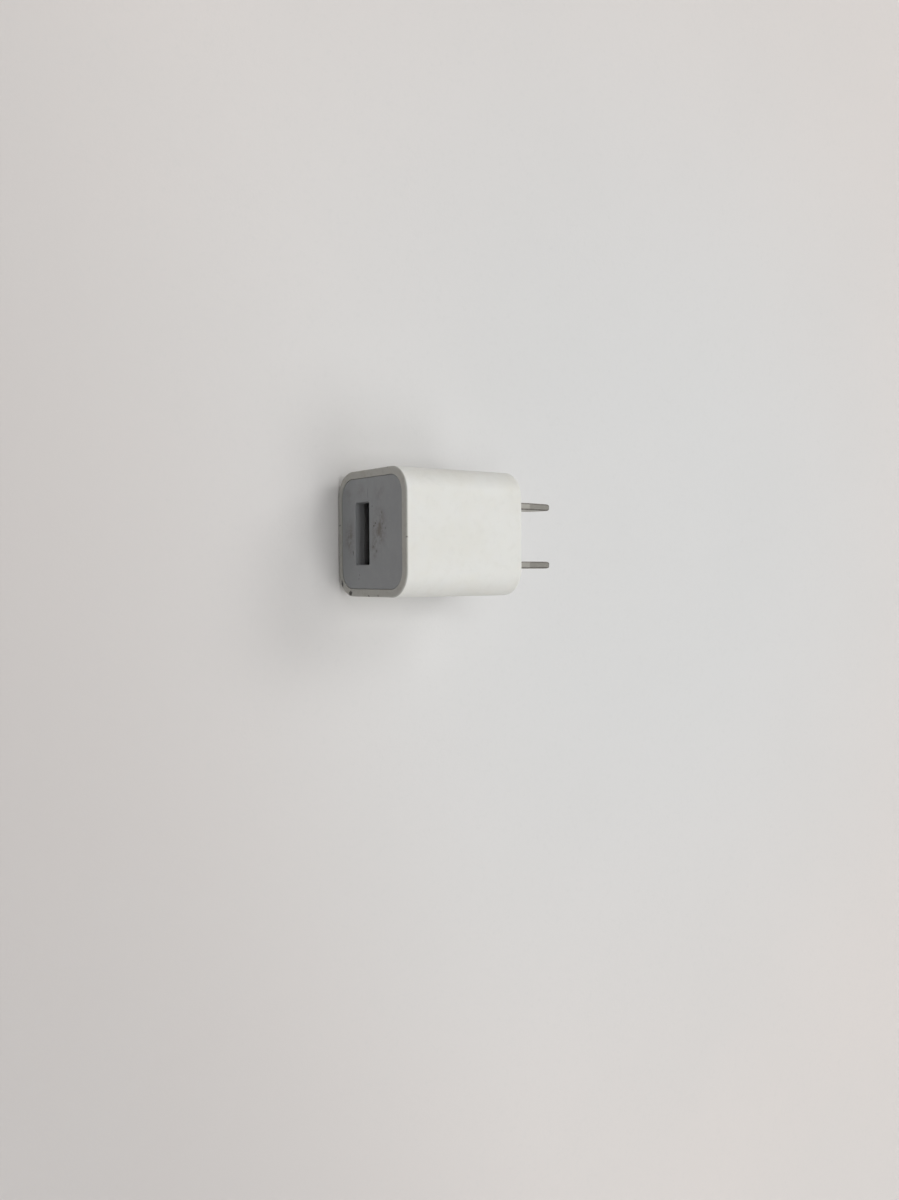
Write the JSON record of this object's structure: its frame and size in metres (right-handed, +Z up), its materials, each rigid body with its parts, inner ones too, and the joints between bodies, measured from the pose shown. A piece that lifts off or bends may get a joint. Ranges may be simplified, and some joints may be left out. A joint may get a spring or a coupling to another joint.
{
  "type": "usb wall charger",
  "caption": "Rounded white cube mains charger with fixed flat blades on one end and a gray face with a USB-A socket on the other.",
  "frame": {"origin": "centre of the outlet face, the end that the blades leave", "axes": "+Y along the blades into the wall, +X to the right when facing the USB face, +Z up when plugged in"},
  "size_m": [0.0254, 0.0453, 0.0254],
  "materials": {
    "white_shell": "fine satin moulded polycarbonate",
    "gray_plate": "satin moulded plastic",
    "blade_plating": "nickel plate over brass, lightly scratched",
    "port_steel": "tinned steel sheet",
    "tongue_plastic": "moulded thermoplastic",
    "contact_gold": "gold flash over bronze",
    "carrier_plastic": "filled thermoplastic",
    "board_laminate": "solder mask over glass laminate",
    "tinned_lead": "tinned copper",
    "ferrite": "sintered ferrite",
    "copper": "enamelled copper",
    "yellow_tape": "polyester tape",
    "bobbin_resin": "phenolic resin",
    "can_aluminium": "drawn aluminium",
    "can_sleeve": "shrunk sleeve",
    "bung_rubber": "moulded rubber",
    "chip_epoxy": "moulded epoxy",
    "resistor_coat": "flameproof coating",
    "ceramic_blue": "dipped coating on a ceramic disc",
    "surface_ceramic": "sintered ceramic",
    "sheet_fibre": "insulating sheet"
  },
  "bodies": {
    "root": {"blade_carrier": "carrier_plastic", "blade_left": "blade_plating", "blade_right": "blade_plating", "board_link_pins": "tinned_lead", "bridge_rectifier": "chip_epoxy", "bridge_rectifier_leads": "tinned_lead", "bulk_capacitor_leads": "tinned_lead", "bulk_capacitor_left": "can_aluminium", "bulk_capacitor_right": "can_aluminium", "bulk_capacitor_sleeves": "can_sleeve", "capacitor_bungs": "bung_rubber", "choke_core": "ferrite", "choke_leads": "tinned_lead", "choke_winding": "copper", "contact_strip_left": "contact_gold", "contact_strip_right": "contact_gold", "controller_chip": "chip_epoxy", "controller_chip_leads": "tinned_lead", "face_plate": "gray_plate", "fusible_resistor": "resistor_coat", "fusible_resistor_leads": "tinned_lead", "housing": "white_shell", "insulating_sheet": "sheet_fibre", "optocoupler": "chip_epoxy", "optocoupler_leads": "tinned_lead", "output_capacitor_leads": "tinned_lead", "output_capacitor_lying": "can_aluminium", "output_capacitor_sleeves": "can_sleeve", "output_capacitor_upright": "can_aluminium", "output_diode": "chip_epoxy", "output_diode_terminals": "tinned_lead", "primary_board": "board_laminate", "primary_winding": "copper", "secondary_board": "board_laminate", "secondary_winding": "copper", "shield_band": "copper", "surface_capacitors": "surface_ceramic", "surface_resistors": "chip_epoxy", "switching_transistor": "chip_epoxy", "switching_transistor_leads": "tinned_lead", "transformer_bobbin": "bobbin_resin", "transformer_core_lower": "ferrite", "transformer_core_upper": "ferrite", "transformer_pins": "tinned_lead", "usb_contact_data_minus": "contact_gold", "usb_contact_data_plus": "contact_gold", "usb_contact_ground": "contact_gold", "usb_contact_power": "contact_gold", "usb_insulator": "tongue_plastic", "usb_shell": "port_steel", "winding_tape_inner": "yellow_tape", "winding_tape_outer": "yellow_tape", "y_capacitor": "ceramic_blue", "y_capacitor_leads": "tinned_lead"}
  },
  "joints": []
}
